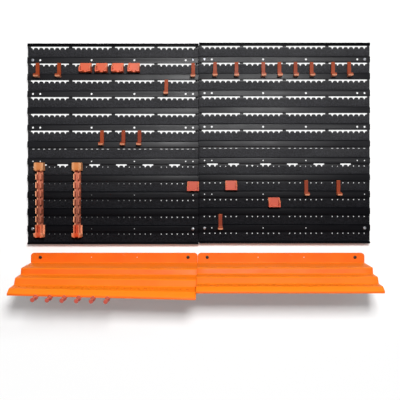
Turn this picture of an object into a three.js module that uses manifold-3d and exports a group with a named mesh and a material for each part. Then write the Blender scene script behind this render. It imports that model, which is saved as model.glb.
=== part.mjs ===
// Wall-mounted tool organizer: two louvred board panels that carry lift-off hooks, clips, holders
// and racks, with a stepped shelf in two sections on the wall below them. Millimetres. X runs
// along the wall, Y into it and Z up. The origin is on the wall, at mid-height of the boards,
// where the two panels meet.

import * as THREE from 'three';
import { mergeVertices } from 'three/addons/utils/BufferGeometryUtils.js';
import Module from 'manifold-3d';

const wasm = await Module();
wasm.setup();

// Fits
const clearance = 0.3; // between pieces that touch
const overrun = 1; // how far a cutting solid passes the face that it opens
const quarterTurn = Math.PI / 2;
const weldDistance = 0.0003; // between vertices that a primitive repeats

// Board panel, seen from the front
const notchPitch = 12.5;
const notchesPerSlot = 7;
const slotsPerRow = 4;
const rowPitch = 39.4;
const rowCount = 12;
const topMargin = 7; // panel top to the first slot
const bottomMargin = 29.6; // last slot's top edge to the panel's foot
const panelWidth = slotsPerRow * (notchesPerSlot + 1) * notchPitch;
const panelHeight = topMargin + (rowCount - 1) * rowPitch + bottomMargin;
const dividerWidth = 8; // solid strip between two slots of a row
const slotEdge = 3; // panel's side to a row's outermost slots
const slotHeight = 8.2;
const notchDepth = 5.4;
const notchMouth = 5.9;
const keyholeHeight = 4.6; // single notch holes of the lower rows
const grainHeight = 16; // set-back zone below a slot
const foldHeight = 1.8; // step from the set-back zone out to the raised band
const rightPanelLift = 2; // the right panel hangs a little higher

// Board panel, seen from the side
const panelDepth = 20; // wall to the face of the raised bands
const combSetback = 4.5;
const combDepth = panelDepth - combSetback;
const sheetThickness = 2.2;
const rimThickness = 2.4;
const seamGap = 1;
const lapReach = 7; // strip of the left panel that runs behind the right one
const lapThickness = 3;
const lapEndGap = 3; // strip's end to the panel's edge

// Rows by kind: rows not named here are open comb slots from side to side
const closedRow = 7;
const mixedRow = 8;
const mixedRowPairs = [2, 6, 12, 17, 22, 27]; // first notch of each open pair
const mixedRowKeyholes = [9, 10];
const keyholeRows = [9, 10, 11, 12];

// Screw holes above every second row, and the screws in four of them
const screwHoleRadius = 2.7;
const screwHoleSides = 5;
const screwHoleRise = 7; // slot's top edge to the hole's centre
const screwHoleRowStep = 2;
const screwHoleEdge = 13; // panel's edge to the outer holes,
const screwHoleInner = 30; // to the ones next to them
const screwHoleMiddle = 150; // and to the middle ones
const bossRadius = 4.5;
const screwedRows = [2, 12];
const bossSides = 6;
const screwSides = 6;
const panelScrewHead = 3.6; // radius
const panelScrewHeadHeight = 2;
const panelScrewCrown = 2.2; // radius of the head's flat top
const panelScrewShank = 2;
const shelfScrewHead = 3.8;
const shelfScrewHeadHeight = 2.2;
const shelfScrewCrown = 2.4;
const shelfScrewShank = 1.9;

// Tongue that hangs a piece in a notch: it has the notch's V and slants down behind the sheet
const tongueSlope = THREE.MathUtils.degToRad(28);
const tongueHeight = 2.4;
const tongueReach = 8; // behind the comb's back face
const tongueRoot = 2; // buried in the piece that it carries

// Single hook
const hookWidth = 8.5;
const hookThickness = 4;
const hookHeight = 34.5;
const prongReach = 16;
const prongThickness = 4.2;
const prongTipWidth = 11;
const prongTipThickness = 3.5;
const prongTipRise = 2.6;
const hookFillet = 4;
const edgeRound = 1.2;

// Clips and holders: a back plate, two cheeks and a floor
const holderWidth = 27;
const holderHeight = 21.5;
const holderReach = 18;
const holderTop = 0.5; // below the slot's top edge
const plateThickness = 3;
const cheekThickness = 2.6;
const cheekNose = 9; // cheek height at the front
const driverHoleRadius = 5.5;
const driverHoleSides = 12;
const twinHoleRadius = 3.4;
const twinHoleSides = 10;
const twinHoleSpacing = 10.5;
const clipNotchMouth = 12;
const clipNotchFoot = 5;
const clipNotchDepth = 11;

// Slotted rack for tools laid crosswise
const rackRowCount = 4; // rows from its upper tongues to its lower ones
const rackTop = 4; // above the upper slot's top edge
const rackWidth = 13.5;
const rackCheek = 3;
const rackReach = 18;
const rackBack = 3;
const rackCapWidth = 21;
const rackCapHeight = 19;
const rackFootDrop = 3.6; // foot below the lower slot
const rackFootHeight = 28;
const rackFootReach = 21;
const rackFootLip = 10; // height of the foot's front lip
const rackSlotCount = 7;
const rackSlotPitch = 19.6;
const rackFirstSlot = 23; // rack top to the middle of the first slot's mouth
const rackSlotHeight = 6.5;
const rackSlotDepth = 12;
const rackSlotSlope = THREE.MathUtils.degToRad(12);

// Shelf section
const shelfGapBelowBoard = 22;
const shelfShift = -3; // the sections' seam from the panels' seam
const shelfSeamGap = 0.4;
const shelfWidth = 394.4;
const shelfThickness = 3;
const flangeHeight = 23.5; // flange top to the first tread
const flangeCorner = 8;
const backHeight = 52; // flange top to the foot of the back plate
const treadDrop = 13.5; // first tread to second, and second to third
const treadFronts = [72.2, 110.5, 148]; // wall to each tread's front edge
const shelfReach = 161;
const riserFeet = [74.5, 118, shelfReach]; // wall to the foot of the slope in front of each tread
const lipHeight = 12; // third tread to the lip's foot
const lipFace = 4; // upright part of the lip
const shelfBead = 4.5; // rounding of the outer corners
const shelfCove = 2; // and of the inner ones
const shelfRibThickness = 2.4;
const shelfRibCount = 3;
const driverRowHoleRadius = 2.7;
const driverRowHoleSides = 5;
const driverRowHolePitch = 15;
const driverRowMargin = 16;
const flangeHoleDrop = 10.5;
const flangeHoleEdge = 22.5;
const flangeHoleRadius = 2.2;
const flangeHoleSides = 8;
const flangeHoleMiddle = 143; // section's end to the holes next to the outer ones
const outerSag = 4.5; // droop of the left section's front at its outer end
const innerSag = 14; // and at the seam, under its load

// Clips with a round peg on the left section's lip
const lipClipCount = 6;
const lipClipPitch = 30;
const lipClipFirst = 60.4; // section's outer end to the first peg
const lipClipWidth = 10;
const lipClipWall = 2.4;
const lipClipCorner = 3.6;
const lipClipGrip = 3.8; // how far its face reaches up the lip
const lipClipJaw = 1.8; // and its jaw behind the lip
const pegRadius = 4;
const pegSides = 8;
const pegDrop = 2.9; // lip's foot to the peg's axis
const pegReach = 20;
const pegButton = 4.7;
const pegButtonThickness = 2.5;

// Colours
const blackPlastic = { color: 0x232328, roughness: 0.6, metalness: 0 };
const hookOrange = { color: 0xff6e32, roughness: 0.45, metalness: 0 };
const shelfOrange = { color: 0xff7d2d, roughness: 0.4, metalness: 0 };
const zincSteel = { color: 0xc9ccd0, roughness: 0.35, metalness: 0.9 };
const blackSteel = { color: 0x1b1b1d, roughness: 0.5, metalness: 0.6 };

// Solids

function solidFrom(geometry) {
  geometry.deleteAttribute('normal');
  geometry.deleteAttribute('uv');
  const merged = mergeVertices(geometry, weldDistance);
  const mesh = new wasm.Mesh({
    numProp: 3,
    vertProperties: new Float32Array(merged.attributes.position.array),
    triVerts: new Uint32Array(merged.index.array),
  });
  return new wasm.Manifold(mesh);
}

function geometryFrom(solid) {
  const mesh = solid.getMesh();
  const geometry = new THREE.BufferGeometry();
  geometry.setAttribute('position', new THREE.BufferAttribute(mesh.vertProperties.slice(), 3));
  geometry.setIndex(new THREE.BufferAttribute(mesh.triVerts.slice(), 1));
  return geometry;
}

function prism(outline, length, holes = []) {
  const shape = new THREE.Shape(outline.map(([u, v]) => new THREE.Vector2(u, v)));
  for (const hole of holes) {
    shape.holes.push(new THREE.Path(hole.map(([u, v]) => new THREE.Vector2(u, v))));
  }
  return new THREE.ExtrudeGeometry(shape, { depth: length, bevelEnabled: false, steps: 1 });
}

// An outline in (Y, Z), drawn from one X to another
function slabAlongX(outline, from, to) {
  const geometry = prism(outline, to - from);
  const axes = new THREE.Matrix4().makeBasis(
    new THREE.Vector3(0, 1, 0),
    new THREE.Vector3(0, 0, 1),
    new THREE.Vector3(1, 0, 0),
  );
  geometry.applyMatrix4(axes);
  geometry.translate(from, 0, 0);
  return solidFrom(geometry);
}

// An outline in (X, Z), drawn from one Y back to another. With a slope, it sinks as it goes
// back, and the outline is its section where Y is level.
function slabAlongY(outline, from, to, slope = 0, level = 0) {
  const geometry = prism(outline, to - from);
  geometry.rotateX(quarterTurn);
  geometry.translate(0, to, 0);
  const slant = new THREE.Matrix4();
  slant.elements[6] = -slope;
  slant.elements[14] = slope * level;
  geometry.applyMatrix4(slant);
  return solidFrom(geometry);
}

// An outline in (X, Y), drawn from one Z up to another
function slabAlongZ(outline, from, to, holes = []) {
  const geometry = prism(outline, to - from, holes);
  geometry.translate(0, 0, from);
  return solidFrom(geometry);
}

function block(x, y, z) {
  const size = [x[1] - x[0], y[1] - y[0], z[1] - z[0]];
  const geometry = new THREE.BoxGeometry(...size);
  geometry.translate(x[0] + size[0] / 2, y[0] + size[1] / 2, z[0] + size[2] / 2);
  return solidFrom(geometry);
}

function join(solids) {
  return solids.reduce((sum, solid) => sum.add(solid));
}

function cut(solid, cutters) {
  return cutters.length ? solid.subtract(join(cutters)) : solid;
}

// Outlines

function ring(centre, radius, sides) {
  const points = [];
  for (let i = 0; i < sides; i += 1) {
    const angle = (2 * Math.PI * i) / sides;
    points.push([centre[0] + radius * Math.cos(angle), centre[1] + radius * Math.sin(angle)]);
  }
  return points;
}

function arc(centre, radius, startAngle, endAngle, steps) {
  const points = [];
  for (let i = 0; i <= steps; i += 1) {
    const angle = startAngle + ((endAngle - startAngle) * i) / steps;
    points.push([centre[0] + radius * Math.cos(angle), centre[1] + radius * Math.sin(angle)]);
  }
  return points;
}

function roundedRectangle(left, right, low, high, radius, steps = 2) {
  const turns = [
    [[right - radius, high - radius], 0],
    [[left + radius, high - radius], quarterTurn],
    [[left + radius, low + radius], 2 * quarterTurn],
    [[right - radius, low + radius], 3 * quarterTurn],
  ];
  return turns.flatMap(([centre, start]) => arc(centre, radius, start, start + quarterTurn, steps));
}

// An open line whose corners are rounded, each with a radius and a number of steps
function rounded(start, corners, end) {
  const places = [start, ...corners.map(([place]) => place), end].map((at) => new THREE.Vector2(...at));
  const curves = corners.map(([, [radius, steps]], i) => {
    const corner = places[i + 1];
    const before = places[i].clone().sub(corner).normalize();
    const after = places[i + 2].clone().sub(corner).normalize();
    const reach = radius * Math.tan((2 * quarterTurn - Math.acos(before.dot(after))) / 2);
    const from = corner.clone().addScaledVector(before, reach);
    const to = corner.clone().addScaledVector(after, reach);
    return new THREE.QuadraticBezierCurve(from, corner, to).getPoints(steps);
  });
  return [start, ...curves.flat().map(({ x, y }) => [x, y]), end];
}

// The line that lies a wall's thickness behind an open line, with mitred corners
function behind(line, thickness) {
  const normals = line.slice(1).map(([u, v], i) => {
    const [du, dv] = [u - line[i][0], v - line[i][1]];
    const length = Math.hypot(du, dv);
    return [dv / length, -du / length];
  });
  return line.map(([u, v], i) => {
    const before = normals[Math.max(i - 1, 0)];
    const after = normals[Math.min(i, normals.length - 1)];
    const scale = thickness / (1 + before[0] * after[0] + before[1] * after[1]);
    return [u + (before[0] + after[0]) * scale, v + (before[1] + after[1]) * scale];
  });
}

// Depths from the wall become Y
const toWallFrame = (line) => line.map(([depth, z]) => [-depth, z]);

// Board panels. Each is drawn with X from its left edge and Z from its mid-height.

const slotSpan = (notchesPerSlot + 1) * notchPitch;
const rowTop = (row) => panelHeight / 2 - topMargin - (row - 1) * rowPitch;
const notchX = (notch) => notch * notchPitch;
const combBack = combDepth - sheetThickness;
const notchFlare = notchMouth / 2 / notchDepth; // half the notch's width for each unit of height
const bossDepth = panelDepth - sheetThickness / 2;

function panelFrontLine() {
  const line = [[panelDepth, panelHeight / 2]];
  for (let row = 1; row <= rowCount; row += 1) {
    const top = rowTop(row);
    const fold = top - slotHeight - grainHeight;
    line.push([panelDepth, top], [combDepth, top], [combDepth, fold], [panelDepth, fold - foldHeight]);
  }
  line.push([panelDepth, -panelHeight / 2]);
  return line;
}

// Comb edge of a slot from one X to another, with a V notch at each listed notch
function combOutline(from, to, notches, top) {
  const floor = top - slotHeight;
  const crest = floor + notchDepth;
  const outline = [[from, top], [from, crest]];
  for (const notch of notches) {
    const x = notchX(notch);
    outline.push([x - notchMouth / 2, crest], [x, floor], [x + notchMouth / 2, crest]);
  }
  outline.push([to, crest], [to, top]);
  return outline;
}

// The lower part of one notch
function keyholeOutline(notch, top) {
  const x = notchX(notch);
  const floor = top - slotHeight;
  const half = keyholeHeight * notchFlare;
  return [[x - half, floor + keyholeHeight], [x, floor], [x + half, floor + keyholeHeight]];
}

function slotCutter(outline) {
  return slabAlongY(outline, -panelDepth - overrun, -combBack + overrun);
}

function notchesOfSlot(slot) {
  return Array.from({ length: notchesPerSlot }, (_, i) => slot * (notchesPerSlot + 1) + i + 1);
}

function keyholeCutters(notches, top) {
  return notches.map((notch) => slotCutter(keyholeOutline(notch, top)));
}

function rowCutters(row) {
  const top = rowTop(row);
  if (row === closedRow) return [];
  if (row === mixedRow) {
    const pairs = mixedRowPairs.map((notch) => {
      const from = notchX(notch) - notchPitch / 2;
      const to = notchX(notch + 1) + notchPitch / 2;
      return slotCutter(combOutline(from, to, [notch, notch + 1], top));
    });
    return [...pairs, ...keyholeCutters(mixedRowKeyholes, top)];
  }
  return Array.from({ length: slotsPerRow }, (_, slot) => {
    if (keyholeRows.includes(row)) return keyholeCutters(notchesOfSlot(slot), top);
    const next = slot + 1;
    const left = slot ? slot * slotSpan + dividerWidth / 2 : slotEdge;
    const right = next < slotsPerRow ? next * slotSpan - dividerWidth / 2 : panelWidth - slotEdge;
    return [slotCutter(combOutline(left, right, notchesOfSlot(slot), top))];
  }).flat();
}

const mirrored = (width, places) => [...places, ...places.map((x) => width - x)];
const screwHolePlaces = mirrored(panelWidth, [screwHoleEdge, screwHoleInner, screwHoleMiddle]);

function screwPlaces() {
  return screwedRows.flatMap((row) =>
    mirrored(panelWidth, [screwHoleEdge]).map((x) => [x, rowTop(row) + screwHoleRise]),
  );
}

function panelSolid() {
  const half = panelHeight / 2;
  const front = panelFrontLine();
  const back = behind(front, sheetThickness).slice(1, -3);
  const inside = panelDepth - sheetThickness;
  const hollow = toWallFrame([
    [-overrun, half - rimThickness],
    [inside, half - rimThickness],
    ...back,
    [combBack, rimThickness - half],
    [-overrun, rimThickness - half],
  ]);
  const shell = slabAlongX(toWallFrame([...front, [0, -half], [0, half]]), 0, panelWidth);
  const cavity = slabAlongX(hollow, rimThickness, panelWidth - rimThickness);
  const bosses = screwPlaces().map((place) =>
    slabAlongY(ring(place, bossRadius, bossSides), -bossDepth, 0),
  );
  const body = join([shell.subtract(cavity), ...bosses]);
  const openings = [];
  for (let row = 1; row <= rowCount; row += 1) {
    openings.push(...rowCutters(row));
  }
  for (let row = screwHoleRowStep; row <= rowCount; row += screwHoleRowStep) {
    for (const x of screwHolePlaces) {
      const hole = ring([x, rowTop(row) + screwHoleRise], screwHoleRadius, screwHoleSides);
      openings.push(slabAlongY(hole, -panelDepth - overrun, overrun));
    }
  }
  return cut(body, openings);
}

function leftPanel(panel) {
  const half = panelHeight / 2 - lapEndGap;
  const x = [panelWidth - lapReach - seamGap, panelWidth + seamGap / 2 + lapReach];
  return panel.add(block(x, [-lapThickness, 0], [-half, half]));
}

function rightPanel(panel) {
  const half = panelHeight / 2 + overrun;
  const depth = lapThickness + clearance;
  return panel.subtract(block([-overrun, lapReach + clearance], [-depth, overrun], [-half, half]));
}

// What hangs on the boards is drawn with X from its notch and Z from its slot's top edge

const seat = -panelDepth - clearance; // back face of a hung piece
const holderMiddle = seat - (holderReach + plateThickness) / 2;

function tongue(x, drop = 0) {
  const lift = clearance / Math.sin(Math.atan(notchFlare));
  const foot = -slotHeight - drop + lift;
  const half = tongueHeight * notchFlare;
  const section = [[x - half, foot + tongueHeight], [x, foot], [x + half, foot + tongueHeight]];
  const tip = -combBack + tongueReach;
  return slabAlongY(section, seat - tongueRoot, tip, Math.tan(tongueSlope), -combBack);
}

function hookSolid() {
  const face = seat - hookThickness;
  const end = face - prongReach;
  const ledge = -hookHeight + prongThickness;
  const tipTop = ledge + prongTipRise;
  const outline = [
    [seat, 0],
    [seat, -hookHeight + hookThickness],
    ...arc(
      [seat - hookThickness, -hookHeight + hookThickness],
      hookThickness,
      0,
      -quarterTurn,
      3,
    ),
    [end + edgeRound, -hookHeight],
    [end, -hookHeight + edgeRound],
    [end, tipTop - edgeRound],
    [end + edgeRound, tipTop],
    [end + prongTipThickness, tipTop],
    [end + prongTipThickness, ledge],
    ...arc([face - hookFillet, ledge + hookFillet], hookFillet, -quarterTurn, 0, 3),
    [face, -edgeRound],
    [face + edgeRound, 0],
  ];
  const half = hookWidth / 2;
  const tipOutline = roundedRectangle(
    -prongTipWidth / 2,
    prongTipWidth / 2,
    -hookHeight,
    tipTop,
    edgeRound,
    1,
  );
  return join([
    slabAlongX(outline, -half, half),
    slabAlongY(tipOutline, end, end + prongTipThickness),
    tongue(0),
  ]);
}

function holderSolid(floorHoles, floorCuts) {
  const half = holderWidth / 2;
  const top = -holderTop;
  const foot = top - holderHeight;
  const front = seat - holderReach;
  const plate = roundedRectangle(-half, half, foot, top, edgeRound, 1);
  const cheek = [
    [seat, foot],
    [seat, top - edgeRound],
    [seat - plateThickness, top - edgeRound],
    [front, foot + cheekNose],
    [front, foot],
  ];
  const floorOutline = [[-half, front], [half, front], [half, seat], [-half, seat]];
  const body = join([
    slabAlongY(plate, seat - plateThickness, seat),
    slabAlongX(cheek, -half, -half + cheekThickness),
    slabAlongX(cheek, half - cheekThickness, half),
    slabAlongZ(floorOutline, foot, foot + plateThickness, floorHoles),
    tongue(0),
  ]);
  return cut(body, floorCuts(front, foot));
}

function driverHolderSolid() {
  return holderSolid([ring([0, holderMiddle], driverHoleRadius, driverHoleSides)], () => []);
}

function twinHolderSolid() {
  const places = [-twinHoleSpacing / 2, twinHoleSpacing / 2];
  return holderSolid(places.map((x) => ring([x, holderMiddle], twinHoleRadius, twinHoleSides)), () => []);
}

function clipSolid() {
  return holderSolid([], (front, foot) => {
    const notch = [
      [-clipNotchMouth / 2, front - overrun],
      [clipNotchMouth / 2, front - overrun],
      [clipNotchFoot / 2, front + clipNotchDepth],
      [-clipNotchFoot / 2, front + clipNotchDepth],
    ];
    return [slabAlongZ(notch, foot - overrun, foot + plateThickness + overrun)];
  });
}

// Slots of a rack: each opens at the front and slants down towards the back
function rackSlotCutter(index) {
  const mouth = rackTop - rackFirstSlot - index * rackSlotPitch;
  const run = rackSlotDepth * Math.cos(rackSlotSlope);
  const drop = rackSlotDepth * Math.sin(rackSlotSlope);
  const lead = overrun * Math.tan(rackSlotSlope);
  const front = seat - rackReach;
  const half = rackSlotHeight / 2;
  const outline = [
    [front - overrun, mouth + half + lead],
    [front - overrun, mouth - half + lead],
    [front + run, mouth - half - drop],
    [front + run, mouth + half - drop],
  ];
  return slabAlongX(outline, -rackWidth / 2 - overrun, rackWidth / 2 + overrun);
}

function rackSolid() {
  const span = rackRowCount * rowPitch;
  const foot = -span - slotHeight - rackFootDrop;
  const front = seat - rackReach;
  const half = rackWidth / 2;
  const capHalf = rackCapWidth / 2;
  const capFoot = rackTop - rackCapHeight;
  const footTop = foot + rackFootHeight;
  const side = [[seat, foot], [seat, rackTop], [front, rackTop], [front, foot]];
  const cheeks = cut(
    join([
      slabAlongX(side, -half, -half + rackCheek),
      slabAlongX(side, half - rackCheek, half),
    ]),
    Array.from({ length: rackSlotCount }, (_, index) => rackSlotCutter(index)),
  );
  const cap = [
    [seat, capFoot],
    [seat, rackTop - edgeRound],
    [seat - edgeRound, rackTop],
    ...arc([front + rackCheek, rackTop - rackCheek], rackCheek, quarterTurn, 2 * quarterTurn, 3),
    [front, capFoot + rackCheek],
    [front + rackCheek, capFoot],
  ];
  const footReach = seat - rackFootReach;
  const shoe = [
    [seat, foot],
    [seat, footTop],
    [seat - rackBack, footTop],
    [seat - rackBack - edgeRound, foot + rackFootLip],
    ...arc(
      [seat - rackBack - edgeRound - rackFootLip / 2, foot + rackFootLip],
      rackFootLip / 2,
      0,
      -2 * quarterTurn,
      5,
    ).slice(1),
    [footReach + edgeRound, foot + rackFootLip + edgeRound],
    [footReach, foot + rackFootLip],
    ...arc([footReach + rackFootLip, foot + rackFootLip], rackFootLip, -2 * quarterTurn, -quarterTurn, 4)
      .slice(1),
  ];
  const pegs = [-notchPitch / 2, notchPitch / 2].flatMap((x) => [tongue(x), tongue(x, span)]);
  return join([
    cheeks,
    slabAlongY([[-half, foot], [half, foot], [half, rackTop], [-half, rackTop]], seat - rackBack, seat),
    slabAlongX(cap, -capHalf, capHalf),
    slabAlongX(shoe, -capHalf, capHalf),
    ...pegs,
  ]);
}

// Screws, drawn along Y with the head's underside at Y 0 and the shank towards the wall

function screwSolid(head, headHeight, crown, shank, shankLength) {
  const points = [
    [0, -shankLength],
    [shank, -shankLength],
    [shank, 0],
    [head, 0],
    [crown, headHeight],
    [0, headHeight],
  ];
  const profile = points.map(([radius, height]) => new THREE.Vector2(radius, height));
  const geometry = new THREE.LatheGeometry(profile, screwSides);
  geometry.rotateX(2 * quarterTurn);
  return solidFrom(geometry);
}

// Shelf sections. Each is drawn with X from its left end and Z from its flange's top edge.

const treadTops = treadFronts.map((_, step) => -flangeHeight - step * treadDrop);
const treadBacks = [shelfThickness, ...riserFeet];
const lowestTread = treadTops[treadTops.length - 1];
const shelfHeight = -lowestTread + lipHeight;

function shelfTopLine() {
  const cove = [shelfCove, 1];
  const bead = [shelfBead, 2];
  const treads = treadTops.flatMap((top, step) => [
    [[treadBacks[step], top], cove],
    [[treadFronts[step], top], bead],
  ]);
  const corners = [...treads, [[shelfReach, lipFace - shelfHeight], bead]];
  return rounded([shelfThickness, 0], corners, [shelfReach, -shelfHeight]);
}

function shelfSolid() {
  const top = shelfTopLine();
  const under = behind(top, shelfThickness);
  const sheet = toWallFrame([...top, ...under.slice().reverse()]);
  const middle = behind(top, shelfThickness / 2).filter(([, z]) => z < -flangeHeight);
  const rib = toWallFrame([
    [shelfThickness / 2, -flangeHeight],
    ...middle.filter(([, z]) => z > lipFace - shelfHeight),
    [shelfReach - shelfThickness / 2, lipFace - shelfHeight - shelfBead / 2],
    [shelfThickness / 2, -backHeight],
  ]);
  const backPlate = [
    [0, -backHeight],
    [shelfWidth, -backHeight],
    ...arc([shelfWidth - flangeCorner, -flangeCorner], flangeCorner, 0, quarterTurn, 3),
    ...arc([flangeCorner, -flangeCorner], flangeCorner, quarterTurn, 2 * quarterTurn, 3),
  ];
  const parts = [slabAlongY(backPlate, -shelfThickness, 0)];
  parts.push(slabAlongX(sheet, 0, shelfWidth));
  for (let i = 0; i < shelfRibCount; i += 1) {
    const x = ((shelfWidth - shelfRibThickness) * i) / (shelfRibCount - 1);
    parts.push(slabAlongX(rib, x, x + shelfRibThickness));
  }
  const cornerCuts = [1, -1].map((inward) => {
    const edge = inward > 0 ? 0 : shelfWidth;
    const corner = [
      [edge - inward * overrun, overrun],
      [edge - inward * overrun, -flangeCorner],
      ...arc([flangeCorner, -flangeCorner], flangeCorner, 2 * quarterTurn, quarterTurn, 3).map(
        ([x, z]) => [edge + inward * x, z],
      ),
      [edge + inward * flangeCorner, overrun],
    ];
    return slabAlongY(corner, -flangeHeight, overrun);
  });
  const holes = [];
  const lastStep = treadFronts.length - 1;
  const holeDepth = (treadBacks[lastStep] + treadFronts[lastStep]) / 2;
  const holeCount = Math.floor((shelfWidth - 2 * driverRowMargin) / driverRowHolePitch) + 1;
  for (let i = 0; i < holeCount; i += 1) {
    const centre = [driverRowMargin + i * driverRowHolePitch, -holeDepth];
    const low = lowestTread - shelfThickness - overrun;
    const hole = ring(centre, driverRowHoleRadius, driverRowHoleSides);
    holes.push(slabAlongZ(hole, low, lowestTread + overrun));
  }
  for (const x of mirrored(shelfWidth, [flangeHoleEdge, flangeHoleMiddle])) {
    const hole = ring([x, -flangeHoleDrop], flangeHoleRadius, flangeHoleSides);
    holes.push(slabAlongY(hole, -shelfThickness - overrun, overrun));
  }
  return cut(join(parts), [...cornerCuts, ...holes]);
}

// The left section droops more and more towards its front, and most at the seam
function sagAt(x, depth) {
  const reachShare = Math.max(depth - shelfThickness, 0) / (shelfReach - shelfThickness);
  return (outerSag + ((innerSag - outerSag) * x) / shelfWidth) * reachShare ** 2;
}

function sagged(geometry) {
  const position = geometry.attributes.position;
  for (let i = 0; i < position.count; i += 1) {
    position.setZ(i, position.getZ(i) - sagAt(position.getX(i), -position.getY(i)));
  }
  return geometry;
}

// Clip on the lip, drawn with X from its middle and Z from the lip's foot
function lipClipSolid() {
  const half = lipClipWidth / 2;
  const face = -shelfReach - clearance;
  const inside = -shelfReach + shelfThickness + clearance;
  const front = face - lipClipWall;
  const low = -pegDrop - pegRadius - edgeRound;
  const plate = roundedRectangle(-half, half, low, lipClipGrip, lipClipCorner, 1);
  const end = front - pegReach;
  const jaw = [
    [front + lipClipWall / 2, -clearance],
    [front + lipClipWall / 2, -clearance - lipClipWall],
    [inside + lipClipWall, -clearance - lipClipWall],
    [inside + lipClipWall, lipClipJaw],
    [inside, lipClipJaw],
    [inside, -clearance],
  ];
  return join([
    slabAlongY(plate, front, face),
    slabAlongX(jaw, -half, half),
    slabAlongY(ring([0, -pegDrop], pegRadius, pegSides), end, front + lipClipWall / 2),
    slabAlongY(ring([0, -pegDrop], pegButton, pegSides), end, end + pegButtonThickness),
  ]);
}

// Assembly

const organizer = new THREE.Group();

function addMesh(name, geometry, finish, parent = organizer, place = [0, 0, 0]) {
  const mesh = new THREE.Mesh(geometry, new THREE.MeshStandardMaterial(finish));
  mesh.name = name;
  mesh.position.set(...place);
  parent.add(mesh);
  return mesh;
}

const boardLeft = new THREE.Group();
boardLeft.position.set(-seamGap / 2 - panelWidth, 0, 0);
const boardRight = new THREE.Group();
boardRight.position.set(seamGap / 2, 0, rightPanelLift);
const shelfTop = -panelHeight / 2 - shelfGapBelowBoard;
const shelfLeft = new THREE.Group();
shelfLeft.position.set(shelfShift - shelfSeamGap / 2 - shelfWidth, 0, shelfTop);
const shelfRight = new THREE.Group();
shelfRight.position.set(shelfShift + shelfSeamGap / 2, 0, shelfTop);
organizer.add(boardLeft, boardRight, shelfLeft, shelfRight);

const panel = panelSolid();
addMesh('panel_left', geometryFrom(leftPanel(panel)), blackPlastic, boardLeft);
addMesh('panel_right', geometryFrom(rightPanel(panel)), blackPlastic, boardRight);

const shelf = shelfSolid();
addMesh('shelf_left', sagged(geometryFrom(shelf)), shelfOrange, shelfLeft);
addMesh('shelf_right', geometryFrom(shelf), shelfOrange, shelfRight);

const sideBoards = { left: boardLeft, right: boardRight };

// The boards sit on the wall through their four corner screws, the shelf through its outer ones

const panelScrew = screwSolid(
  panelScrewHead,
  panelScrewHeadHeight,
  panelScrewCrown,
  panelScrewShank,
  panelDepth - clearance,
);
const panelScrewGeometry = geometryFrom(panelScrew);
for (const [side, board] of Object.entries(sideBoards)) {
  screwPlaces().forEach(([x, z], index) => {
    const name = `panel_screw_${side}_${index + 1}`;
    addMesh(name, panelScrewGeometry, zincSteel, board, [x, seat, z]);
  });
}

const shelfScrew = screwSolid(
  shelfScrewHead,
  shelfScrewHeadHeight,
  shelfScrewCrown,
  shelfScrewShank,
  shelfThickness - clearance,
);
const shelfScrewGeometry = geometryFrom(shelfScrew);
for (const [side, section] of Object.entries({ left: shelfLeft, right: shelfRight })) {
  mirrored(shelfWidth, [flangeHoleEdge]).forEach((x, index) => {
    const place = [x, -shelfThickness - clearance, -flangeHoleDrop];
    addMesh(`shelf_screw_${side}_${index + 1}`, shelfScrewGeometry, blackSteel, section, place);
  });
}

// Hung pieces: board side, row and notch, counted from the panel's left edge
const hookPlaces = [
  ['left', 2, 2],
  ['left', 2, 6],
  ['left', 2, 31],
  ['left', 3, 26],
  ['left', 6, 14],
  ['left', 6, 18],
  ['left', 6, 21],
  ['right', 2, 3],
  ['right', 2, 7],
  ['right', 2, 12],
  ['right', 2, 15],
  ['right', 2, 18],
  ['right', 2, 21],
  ['right', 2, 25],
  ['right', 2, 28],
  ['right', 9, 20],
  ['right', 9, 26],
  ['right', 11, 4],
];
const clipPlaces = [['left', 2, 11], ['left', 2, 14], ['left', 2, 17], ['left', 2, 20]];
const driverHolderPlaces = [['left', 9, 31], ['right', 9, 6]];
const twinHolderPlaces = [['right', 10, 14]];
const rackPlaces = [['left', 8, 2.5], ['left', 8, 9.5]];

function hang(kind, solid, places) {
  const geometry = geometryFrom(solid);
  places.forEach(([side, row, notch], index) => {
    const name = `${kind}_${index + 1}`;
    addMesh(name, geometry, hookOrange, sideBoards[side], [notchX(notch), 0, rowTop(row)]);
  });
}

hang('hook', hookSolid(), hookPlaces);
hang('key_clip', clipSolid(), clipPlaces);
hang('driver_holder', driverHolderSolid(), driverHolderPlaces);
hang('twin_holder', twinHolderSolid(), twinHolderPlaces);
hang('rack', rackSolid(), rackPlaces);

const lipClip = geometryFrom(lipClipSolid());
for (let i = 0; i < lipClipCount; i += 1) {
  const x = lipClipFirst + i * lipClipPitch;
  const z = -shelfHeight - sagAt(x, shelfReach);
  addMesh(`lip_clip_${i + 1}`, lipClip, hookOrange, shelfLeft, [x, 0, z]);
}

export default organizer;
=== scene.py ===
"""Looks of the wall-mounted tool organizer: louvred boards, orange hung pieces and a stepped shelf."""

import math

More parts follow.
